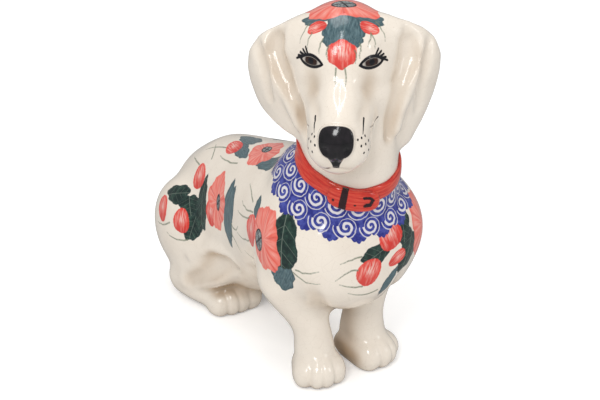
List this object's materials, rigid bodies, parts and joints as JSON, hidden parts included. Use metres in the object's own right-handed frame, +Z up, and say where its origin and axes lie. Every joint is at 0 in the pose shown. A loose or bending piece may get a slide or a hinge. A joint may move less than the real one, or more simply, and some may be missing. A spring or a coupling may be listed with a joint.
{
  "type": "dog figurine",
  "caption": "Sitting dachshund figurine in glazed stoneware, with long hanging ears, a turned head and a collar, for a shelf or table.",
  "frame": {"origin": "under the middle of the bounding box, on the surface that the figurine stands on", "axes": "+Z up, -Y the way the dog's chest and forepaws face, +X the dog's left side"},
  "size_m": [0.0938, 0.2118, 0.2152],
  "materials": {
    "ivory_glaze": "clear glossy glaze over warm ivory stoneware, with flowers, leaves and a blue lace band painted under it",
    "red_glaze": "clear glossy glaze over brushed coral red, with black buckle marks"
  },
  "bodies": {
    "root": {"body_casting": "ivory_glaze", "head_casting": "ivory_glaze", "left_ear": "ivory_glaze", "right_ear": "ivory_glaze", "left_foreleg": "ivory_glaze", "right_foreleg": "ivory_glaze", "left_hind_leg": "ivory_glaze", "right_hind_leg": "ivory_glaze", "tail": "ivory_glaze", "collar_strap": "red_glaze", "collar_tongue": "red_glaze"}
  },
  "joints": []
}
